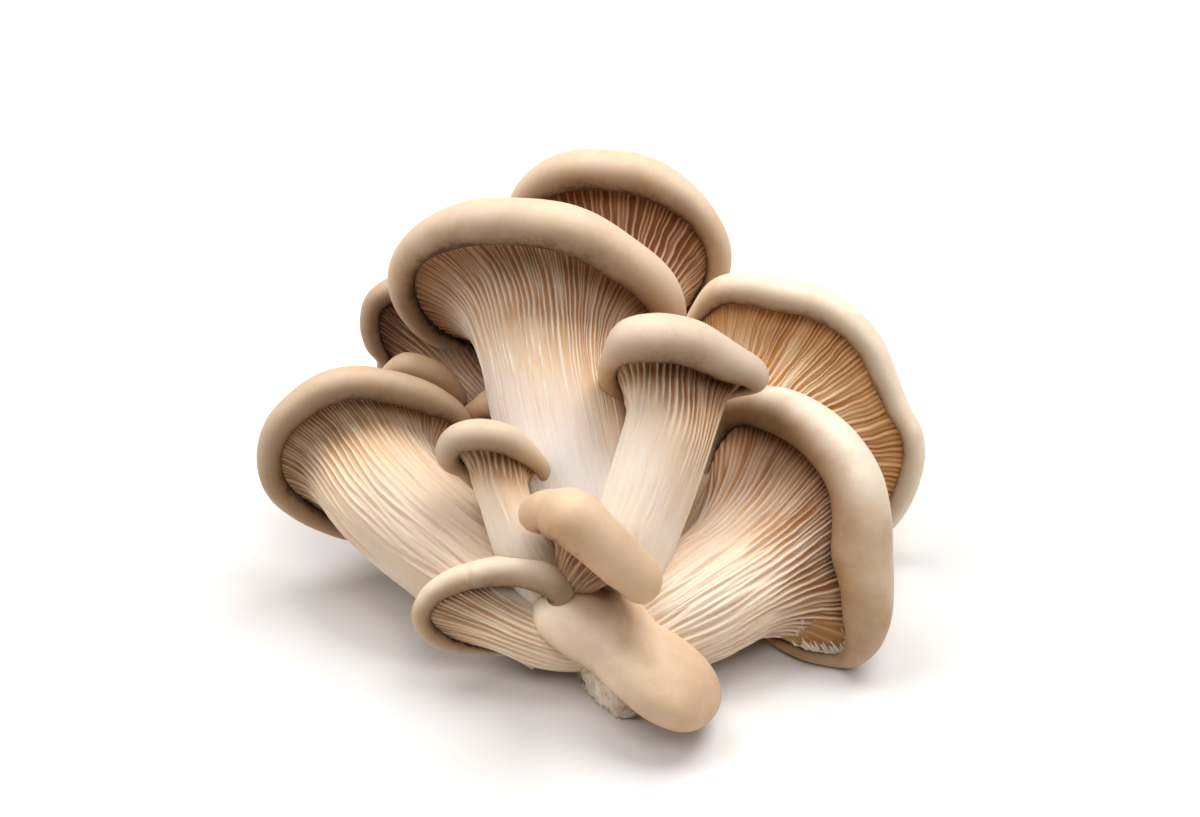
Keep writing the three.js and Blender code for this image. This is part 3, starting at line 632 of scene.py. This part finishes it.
def torn_tree():
    """Roughens a surface with lumps and covers it with short torn fibres. Lean is added to the
    way out of the surface, and stray is how far a fibre may turn from that."""
    numbers = {"Lumps": 5 * MM, "Lump Size": 4 * MM, "Fibres Per Square Metre": 0.9e6,
               "Shortest": 0.3 * MM, "Longest": 1.4 * MM, "Thickness": 0.3 * MM,
               "Flatness": 1.0, "Stray": 0.9}
    others = {"Lean": "Vector", "Seed": "Int", "Material": "Material"}
    k, given = new_tree("tear_flesh", numbers, others)
    place = k.add("GeometryNodeInputPosition").outputs[0]
    normal = k.add("GeometryNodeInputNormal").outputs[0]
    lump = k.add("ShaderNodeTexNoise", {"Vector": place, "Detail": 4.0, "Roughness": 0.65})
    k.feed(lump.inputs["Scale"], k.math("DIVIDE", 1.0, given["Lump Size"]))
    height = k.times(k.less(lump.outputs[0], 0.5), given["Lumps"])
    shift = k.vector("SCALE", normal, scale=height)
    rough = k.add("GeometryNodeSetPosition", {"Geometry": given["Geometry"], "Offset": shift})
    points = k.add("GeometryNodeDistributePointsOnFaces",
                   {"Mesh": rough.outputs[0], "Density": given["Fibres Per Square Metre"],
                    "Seed": given["Seed"]})
    stray = k.add("FunctionNodeRandomValue", data_type="FLOAT_VECTOR")
    long = k.add("FunctionNodeRandomValue", data_type="FLOAT")
    for node, low, high, seed in ((stray, (-1,) * 3, (1,) * 3, 1),
                                  (long, given["Shortest"], given["Longest"], 2)):
        for name, value in (("Min", low), ("Max", high), ("Seed", seed)):
            k.feed(live(node.inputs, name), value)
    out = k.vector("ADD", points.outputs["Normal"], given["Lean"])
    out = k.vector("ADD", out, k.vector("SCALE", stray.outputs[0], scale=given["Stray"]))
    lie = k.add("FunctionNodeAlignRotationToVector", {"Vector": out}, axis="Z")
    fibre = k.add("GeometryNodeMeshCone", {"Vertices": 5, "Side Segments": 2, "Radius Top": 0.1,
                                           "Radius Bottom": 0.5, "Depth": 1.0})
    thick = given["Thickness"]
    size = k.xyz(thick, k.times(thick, given["Flatness"]), live(long.outputs))
    spread = k.add("GeometryNodeInstanceOnPoints",
                   {"Points": points.outputs["Points"], "Instance": fibre.outputs["Mesh"],
                    "Rotation": lie.outputs[0], "Scale": size})
    both = k.add("GeometryNodeJoinGeometry")
    k.feed(both.inputs[0], rough.outputs[0])
    k.feed(both.inputs[0], spread.outputs[0])
    return end_tree(k, both.outputs[0], given["Material"])


def grown_by(piece, tree, values):
    """The plain mesh that a node tree makes of a piece, in the piece's place."""
    modifier = piece.modifiers.new(tree.name, "NODES")
    modifier.node_group = tree
    for item in tree.interface.items_tree:
        if item.item_type == "SOCKET" and item.in_out == "INPUT" and item.name in values:
            modifier[item.identifier] = values[item.name]
    bpy.context.view_layer.update()
    seen = piece.evaluated_get(bpy.context.evaluated_depsgraph_get())
    mesh = bpy.data.meshes.new_from_object(seen)
    old, name = piece.data, piece.name
    piece.modifiers.remove(modifier)
    piece.data = mesh
    bpy.data.meshes.remove(old)
    mesh.name = name
    return piece


# ---- finishes


class Finish(Nodes):
    """A material's nodes, round one Principled shader."""

    def __init__(self, name):
        self.material = bpy.data.materials.new(name)
        self.material.use_nodes = True
        super().__init__(self.material.node_tree)
        self.shader = self.tree.nodes["Principled BSDF"]
        self.place = self.add("ShaderNodeTexCoord").outputs["Object"]

    def set(self, **values):
        for name, value in values.items():
            self.feed(self.shader.inputs[name.replace("_", " ")], value)

    def own(self, name):
        return self.add("ShaderNodeAttribute", attribute_name=name).outputs["Fac"]

    def noise(self, size, detail=3.0, roughness=0.55):
        """Cloudy noise from 0 to 1 with lumps about "size" millimetres wide."""
        node = self.add("ShaderNodeTexNoise", {
            "Vector": self.place, "Detail": detail, "Roughness": roughness,
            "Scale": 1 / (size * MM)})
        return node.outputs[0]

    def blend(self, share, a, b):
        """Colour a where share is 0 and b where it is 1."""
        node = self.add("ShaderNodeMix", data_type="RGBA")
        for socket, value in (("Factor", share), ("A", a), ("B", b)):
            self.feed(live(node.inputs, socket), value)
        return live(node.outputs)

    def along_gills(self, across, along, detail):
        """Noise that follows the gills, with so many lumps to a gill width each way."""
        ring = self.add("ShaderNodeAttribute", attribute_name="ring").outputs["Vector"]
        scale = (across, across, along)
        moved = self.add("ShaderNodeMapping", {"Vector": ring, "Scale": scale})
        return self.cloud(moved.outputs[0], detail)

    def bump(self, height, depth):
        node = self.add("ShaderNodeBump", {"Height": height, "Distance": depth * MM})
        self.feed(self.shader.inputs["Normal"], node.outputs[0])


def toned(colour, factors):
    """A colour with its red, green and blue each made stronger or weaker."""
    return tuple(c * f for c, f in zip(colour, factors)) + (1.0,)


def cap_skin(name, lit, skin, dark):
    """Satin tan skin with a painted highlight on top of the lip, strongest where the lip faces
    up, and painted shade darkening it towards the crease where it meets the gills, over its
    own mottled dark line.
    "roll" is 0 at the crease, 1 where a full lip ends and 2 at the cap's top."""
    k = Finish(name)
    roll, edge, sky, pale = k.own("roll"), k.own("edge"), k.own("sky"), k.own("pale")
    warm = toned(dark, WARM)
    cloud = k.noise(9, detail=4)
    speck = k.noise(1.6, detail=5, roughness=0.65)
    # painted highlight on the top of the lip's roll, stronger where the lip faces up, plus the
    # painted light on some caps' backs
    top = k.times(k.rise(roll, 0.3, 0.66), k.less(1.0, k.rise(roll, 0.9, 1.4)))
    top = k.plus(k.times(top, k.plus(0.15, k.times(sky, 0.85))), pale)
    patch = k.times(k.less(cloud, 0.5), 0.8)
    colour = k.blend(k.plus(k.times(top, 0.8), patch, clamp=True), skin, lit)
    ochre = k.rise(k.noise(11, detail=6, roughness=0.6), 0.5, 0.72)
    colour = k.blend(k.times(ochre, 0.4), colour, OCHRE)
    # towards the crease: the skin's own mottled dark line and specks, with painted shade
    # spreading from it in a broad warm band and a darker grainy band
    uneven = k.plus(edge, k.times(k.less(cloud, 0.5), 0.2))
    grainy = k.plus(uneven, k.times(k.less(speck, 0.5), 0.3))
    for height, low, high, share, tone in (
            (uneven, 0.05, 0.6, 0.9, warm), (grainy, 0.1, 0.3, 0.8, dark),
            (grainy, 0.08, 0.19, 0.85, toned(dark, LINE))):
        near_crease = k.less(1.0, k.rise(height, low, high))
        colour = k.blend(k.times(near_crease, share), colour, tone)
    crown = k.less(k.times(k.rise(roll, 1.2, 2.0), 0.3), pale)
    crown = k.plus(crown, k.times(k.rise(cloud, 0.5, 0.75), 0.12), clamp=True)
    colour = k.blend(crown, colour, warm)
    fleck = k.rise(k.noise(0.7, detail=4, roughness=0.7), 0.6, 0.74)
    colour = k.blend(k.times(fleck, 0.24), colour, dark)
    k.set(Base_Color=colour, Roughness=0.5, Subsurface_Weight=0.15, Subsurface_Scale=0.002,
          Subsurface_Radius=(1.0, 0.5, 0.3), Specular_IOR_Level=0.4)
    k.bump(k.plus(k.times(speck, 0.35), k.noise(0.5, detail=2)), 0.05)
    return k.material


def flesh(name, edge, valley, stem, brown_from):
    """Pale moist flesh: gill edges cream, the depths between them painted warm and dark as
    shade, browner towards the rim under the lip, the stem near white with faint lengthwise
    streaks and painted shade between its pleats."""
    k = Finish(name)
    run, ridge, fold = k.own("run"), k.own("ridge"), k.own("fold")
    streak = k.along_gills(0.9, 0.06, 3.0)
    # painted shade: the depths between the gills go from tan by the stem to the valley tone,
    # browner towards the rim under the lip, where the edges darken as well
    by_rim = k.rise(run, brown_from, 1.0)
    hollow = k.blend(k.rise(run, 0.0, 0.6), TAN, valley)
    hollow = k.blend(by_rim, hollow, toned(valley, BROWN))
    shaded_edge = k.blend(k.times(by_rim, 0.8), edge, valley)
    gills = k.blend(k.less(1.0, k.rise(ridge, 0.0, 0.75)), shaded_edge, hollow)
    # painted shade in the valleys between pleats, with random warm clouds and streaks
    warm = k.times(k.less(1.0, fold), 0.2)
    warm = k.plus(warm, k.times(k.rise(k.noise(14, detail=3), 0.45, 0.8), 0.25))
    warm = k.plus(warm, k.times(k.rise(streak, 0.45, 0.7), 0.15))
    colour = k.blend(k.rise(run, -0.45, 0.3), k.blend(warm, stem, TAN), gills)
    colour = k.blend(k.times(k.own("worn"), 0.8), colour, TAN)
    bare = k.blend(k.rise(streak, 0.4, 0.7), *BARE)
    colour = k.blend(k.times(k.own("bare"), 0.95), colour, bare)
    k.set(Base_Color=colour, Roughness=0.55, Subsurface_Weight=0.25, Subsurface_Scale=0.0012,
          Subsurface_Radius=(1.0, 0.5, 0.25), Specular_IOR_Level=0.35)
    k.bump(k.along_gills(2.2, 0.25, 4.0), 0.16)
    return k.material


def torn_flesh(name):
    """White torn flesh that has browned in places."""
    k = Finish(name)
    aged = k.rise(k.noise(5, detail=3), 0.52, 0.72)
    k.set(Base_Color=k.blend(aged, *TORN), Roughness=0.7, Subsurface_Weight=0.25,
          Subsurface_Scale=0.0012, Subsurface_Radius=(1.0, 0.6, 0.35), Specular_IOR_Level=0.3)
    k.bump(k.noise(0.5, detail=4), 0.25)
    return k.material


# ---- building the pieces


def cap(name, m):
    form = Form(m)
    c = np.arange(CAP_COLUMNS) * 360 / CAP_COLUMNS
    turns = np.linspace(LIP_FROM, form.lip_end(), LIP_ROWS)
    outer = np.linspace(0, 1, BACK_ROWS + 1)[1:-1]
    rows = [form.parting(c, u, GAP) for u in CAP_HIDDEN]
    rows += [form.lip(c, turn) for turn in turns]
    rows += [form.back(c, u) for u in outer]
    rolled = (LIP_FROM - turns) / (LIP_FROM - LIP_TO)
    over = rolled[-1] + (2 - rolled[-1]) * outer
    roll = np.concatenate([[-u for u in CAP_HIDDEN], rolled, over])[:, None]
    rising = form.outward(c)[:, 2]
    # where the lip faces up, the painted crease shade reaches further round it
    shade_reach = (SHADE_OUT - SHADE_TILT * form.face[2]) * smooth(rising)
    # the more the lip faces up, the more of the painted highlight it takes
    dim = m.get("dim", LIT_FROM)
    sky = smooth((rising - dim) / (LIT_TO - dim))
    even = np.zeros((len(rows), len(c)))
    pale, top_lit = even, 0
    # painted light on a listed cap's back, strongest towards its clock angle
    if name in LIT_BACKS:
        toward = 0.5 + 0.5 * np.cos(np.radians(c - LIT_BACKS[name]))
        share = (roll - LIP_FRONT) / (2 - LIP_FRONT)
        pale = smooth((roll - LIP_FRONT) / 0.5) * (toward * (1 - share) + LIT_BACK_TOP * share)
        top_lit = LIT_BACK_TOP
    values = {"roll": with_ends(-1, roll + even, 2), "pale": with_ends(0, pale, top_lit),
              "edge": with_ends(-1, roll - shade_reach, 2), "sky": with_ends(0, sky + even, 1)}
    piece = closed_skin(f"{name}_cap_skin", form.heart(GAP), rows, form.top, values)
    tones = (srgb(*tone) for tone in SKINS[name])
    piece.data.materials.append(cap_skin(f"{name}_cap_skin", *tones))
    settle(piece)
    finish_piece(piece, f"{name}_cap")


def between(c, start, end, fade):
    """1 between two clock angles, with both ends faded over some degrees."""
    return smooth((c - start) / fade) * smooth((end - c) / fade)


def bared(m, c, w, seed):
    """Where the gills are torn away, 0 to 1, for rows at w along the trumpet."""
    start, end, inner = m.get("torn", (0, 0, 1))
    ragged = inner + 0.12 * np.random.default_rng(seed).random(2 * m["gills"])
    ragged = np.repeat(ragged, len(GILL_STEPS))
    return between(c, start, end, TORN_FADE) * smooth((w - ragged) / WORN_STEP)


def rubbed(m, c, w, seed):
    """Where gills are rubbed down in patches, 0 to 1, for rows at w along the trumpet."""
    start, end, low, high = m.get("worn", (0, 0, 0, 0))
    draws = np.random.default_rng(seed).random((len(w) // 2 + 1, 2 * m["gills"]))
    patchy = np.repeat(np.repeat(draws, 2, axis=0)[:len(w)], len(GILL_STEPS), axis=1) > 0.5
    inside = smooth((w - low) / WORN_STEP) * smooth((high - w) / WORN_STEP)
    return between(c, start, end, WORN_FADE) * inside * patchy


def gills_and_stem(name, m, tree, material, seed):
    form = Form(m)
    units = 2 * m["gills"]
    turn = (np.arange(units)[:, None] + np.array(GILL_STEPS)).ravel()
    c = turn * 360 / units
    down = np.linspace(0, 1, STEM_ROWS + 1)[:-1]
    along = np.linspace(0, 1, SHEET_ROWS)
    rows = [form.stem(c, m["gill_from"] * t) for t in down]
    rows += [form.sheet(c, w) for w in along]
    rows += [form.sheet(c, 1.0) + TUCK * form.lip_radius(c)[:, None] * form.outward(c)]
    rows += [form.parting(c, u, 0) for u in GILL_HIDDEN]
    grid = np.array(rows)

    def by_row(on_stem, on_trumpet, beyond):
        """A value for each row, as a column: on the stem, the trumpet, and past it."""
        return np.concatenate([on_stem, on_trumpet, beyond])[:, None]

    zeros, ones = np.zeros(BEYOND), np.ones(BEYOND)
    w = by_row(0 * down, along, ones)
    bare, worn = bared(m, c, w, seed), rubbed(m, c, w, seed)
    sunk = by_row(0 * down, 1 - smooth((along - 0.8) / 0.2), zeros)
    grid = grid - TORN_DEPTH * (bare * sunk)[..., None] * form.face
    lean_clock, lean = m.get("lean", (90, 0.0))
    run = by_row(down - 1, along, [1.02] + [1 + u for u in GILL_HIDDEN])
    # where the gills run further down on one side, their browner colour runs down with them,
    # partly real gills and partly painted shade on that side of the stem
    run = run + lean * np.maximum(0, 1 - run ** 2) * np.cos(np.radians(c - lean_clock))
    on_trumpet = 0.4 + 0.7 * smooth(along / 0.4) - 0.3 * smooth((along - 0.75) / 0.25)
    tall = by_row(0.4 * smooth(down * 2), on_trumpet, [0.6] + [0.0] * len(GILL_HIDDEN))
    near_lip = by_row(0 * down, smooth(along / 0.8), ones)
    thin = 1 - np.minimum(1, form.lip_radius(c) / 3)
    tall = tall * (1 - near_lip * thin) * (1 - bare) * (1 - worn)
    space = np.linalg.norm(np.roll(grid, -1, axis=1) - grid, axis=2) * len(GILL_STEPS)
    tall = tall * np.clip(space / GILL_WIDTH, 0.2, 1.2)
    across = unit(np.roll(grid, -1, axis=1) - np.roll(grid, 1, axis=1))
    across[-len(GILL_HIDDEN):] = 0
    pleated = by_row(smooth((down - 0.1) / 0.3), 1 - 0.7 * smooth(along / 0.5), zeros)
    step = np.linalg.norm(np.diff(grid, axis=0), axis=2).mean(axis=1)
    travelled = np.concatenate([[0], np.cumsum(step)]) / GILL_WIDTH
    angle = np.radians(c)
    circle = units / (2 * math.pi) * np.stack([np.cos(angle), np.sin(angle)], axis=-1)
    ring = np.array([np.column_stack([circle, np.full(len(c), z)]) for z in travelled])
    even = np.zeros((len(rows), len(c)))
    values = {"bare": with_ends(0, bare, 0), "worn": with_ends(0, worn, 0),
              "run": with_ends(-1, run, 2), "tall": with_ends(0, tall, 0),
              "pleated": with_ends(0, pleated + even, 0), "ring": with_still_ends(ring),
              "across": with_still_ends(across), "turn": with_ends(0, turn + even, 0)}
    piece = closed_skin(f"{name}_flesh", form.axis(0)[0], rows, form.heart(0), values)
    long_from, long_to = m.get("down", (-0.9, -0.1))
    short_from, short_to = m.get("short", (0.3, 0.75))
    grown_by(piece, tree, {
        "Edge Width": m.get("edge", 0.38), "Waviness": m.get("sway", 1.6) * MM,
        "Wave Length": m.get("wave", 14), "Folds": m.get("folds", 0.35) * MM,
        "Long Ends From": long_from, "Long Ends To": long_to, "Short Ends From": short_from,
        "Short Ends To": short_to, "Gills Round": units, "Seed": seed, "Material": material})
    settle(piece)
    finish_piece(piece, f"{name}_gills_and_stem")


def torn_edge(name, place, tree, material, clocks, at, wide, fibres, longest, toward):
    """A thin roll along a torn edge, covered with the stubs of torn gills. at: gives the
    edge's points. toward: the way the stubs lean."""
    form = Form(MUSHROOMS[name])
    line = at(form, np.linspace(*clocks, 60))
    up = unit(np.cross(unit(np.gradient(line, axis=0)), form.face))
    a = np.arange(8) * math.pi / 4
    rows = [p + wide * (np.cos(a)[:, None] * form.face + np.sin(a)[:, None] * u)
            for p, u in zip(line, up)]
    piece = closed_skin(f"{name}_torn_{place}", line[0], rows, line[-1], {})
    grown_by(piece, tree, {
        "Lumps": 0.4 * MM, "Lump Size": 0.8 * MM, "Fibres Per Square Metre": fibres,
        "Shortest": 0.4 * longest * MM, "Longest": longest * MM, "Thickness": 1.0 * MM,
        "Flatness": 0.4, "Stray": 0.5, "Seed": 8, "Material": material,
        "Lean": tuple(toward(form, np.array([np.mean(clocks)]))[0])})
    settle(piece)
    finish_piece(piece, f"{name}_gills_and_stem")


def torn_base(tree, material):
    reach = cyclic([f[0] for f in BASE["footprint"]], [f[1] for f in BASE["footprint"]])
    c = np.arange(BASE_COLUMNS) * 360 / BASE_COLUMNS
    a = np.radians(c)
    rows = []
    for h in np.linspace(0, 1, BASE_ROWS):
        r = reach(c) * np.interp(h, np.linspace(0, 1, len(BASE["spread"])), BASE["spread"])
        x, y = BASE["middle"][0] + r * np.cos(a), BASE["middle"][1] + r * np.sin(a)
        rows.append(np.stack([x, y, np.full_like(x, BASE["height"] * h)], axis=-1))
    low = (*BASE["middle"], 0)
    high = (*BASE["middle"], BASE["height"] + 1)
    piece = closed_skin("torn_base_flesh", low, rows, high, {})
    grown_by(piece, tree, {"Lean": (0, 0, -0.35), "Seed": 5, "Material": material})
    settle(piece)
    finish_piece(piece, "base")


def finish_piece(piece, node):
    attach(piece, "root")
    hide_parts(node)


# ---- the place it lies in, light and camera


FLOOR_HALF = 3.0     # metres
FLOOR_COLOUR = (0.75, 0.725, 0.705, 1)
ROOM_LIGHT = 0.01
LIGHT_AIM = (0, 0, 0.03)
LIGHTS = {  # place and width in metres, power in watts
    "behind_right": ((0.85, 0.85, 2.45), 1.9, 68),
    "behind_left": ((-0.85, 0.85, 2.45), 1.4, 32),
    "left": ((-1.7, 0, 1.5), 1.4, 18),
    "right": ((1.8, 0, 1.3), 1.4, 7),
    "front": ((0.2, -1.2, 2.3), 1.4, 18)}
CAMERA_AIM = (0, 0, 36)      # in the cluster's own frame, millimetres
CAMERA_TILT = 38             # degrees down
CAMERA_AWAY = 0.6            # metres
LENS, SENSOR = 85, 36        # millimetres


def floor():
    mesh = bpy.data.meshes.new("pale_floor")
    h = FLOOR_HALF
    mesh.from_pydata([(-h, -h, 0), (h, -h, 0), (h, h, 0), (-h, h, 0)], [], [(0, 1, 2, 3)])
    piece = bpy.data.objects.new("pale_floor", mesh)
    bpy.context.scene.collection.objects.link(piece)
    k = Finish("pale_floor")
    k.set(Base_Color=FLOOR_COLOUR, Roughness=0.9, Specular_IOR_Level=0.0)
    mesh.materials.append(k.material)


def soft_light(name, place, width, power):
    data = bpy.data.lights.new(name, "AREA")
    data.shape, data.size, data.energy = "DISK", width, power
    light = bpy.data.objects.new(name, data)
    light.location = place
    toward = Vector(LIGHT_AIM) - light.location
    light.rotation_euler = toward.to_track_quat("-Z", "Y").to_euler()
    bpy.context.scene.collection.objects.link(light)


def studio():
    """A white backdrop, and wide soft lights, the strongest high behind on the right."""
    world = bpy.data.worlds.new("studio")
    world.use_nodes = True
    k = Nodes(world.node_tree)
    room = world.node_tree.nodes["Background"]
    k.feed(room.inputs["Color"], (1, 1, 1, 1))
    backdrop = k.add("ShaderNodeLightPath").outputs["Is Camera Ray"]
    k.feed(room.inputs["Strength"], k.plus(ROOM_LIGHT, backdrop))
    bpy.context.scene.world = world
    for name, (place, width, power) in LIGHTS.items():
        soft_light(name, place, width, power)
    bpy.context.scene.view_settings.view_transform = "Standard"


def camera():
    aim = Vector(CAMERA_AIM) * MM - Vector(CENTRE) * MM
    tilt = math.radians(CAMERA_TILT)
    data = bpy.data.cameras.new("camera")
    data.lens, data.sensor_width, data.sensor_fit = LENS, SENSOR, "HORIZONTAL"
    cam = bpy.data.objects.new("camera", data)
    cam.location = aim + CAMERA_AWAY * Vector((0, -math.cos(tilt), math.sin(tilt)))
    cam.rotation_euler = (math.pi / 2 - tilt, 0, 0)
    bpy.context.scene.collection.objects.link(cam)
    bpy.context.scene.camera = cam


# ---- all pieces, in order

gills = gill_tree()
for number, (name, m) in enumerate(MUSHROOMS.items()):
    cap(name, m)
    tones = EDGES.get(name, EDGE), VALLEYS.get(name, VALLEY), STEMS.get(name, STEM)
    gilled = flesh(f"{name}_gills", *(srgb(*tone) for tone in tones), m.get("brown_from", 0.4))
    gills_and_stem(name, m, gills, gilled, number)
torn, torn_look = torn_tree(), torn_flesh("torn_base")
torn_base(torn, torn_look)
torn_edge("right", "rim", torn, torn_look, clocks=(101, 136), wide=0.5, fibres=1.2e6,
          longest=4.0, at=lambda form, c: form.lip(c, LIP_FROM - 10),
          toward=lambda form, c: 1.2 * form.face - 3 * form.outward(c))
torn_edge("right", "gills", torn, torn_look, clocks=(101, 124), wide=0.25, fibres=3e6,
          longest=1.3, at=lambda form, c: form.sheet(c, 0.46),
          toward=lambda form, c: 3 * form.outward(c) + 0.3 * form.face)
floor()
studio()
camera()
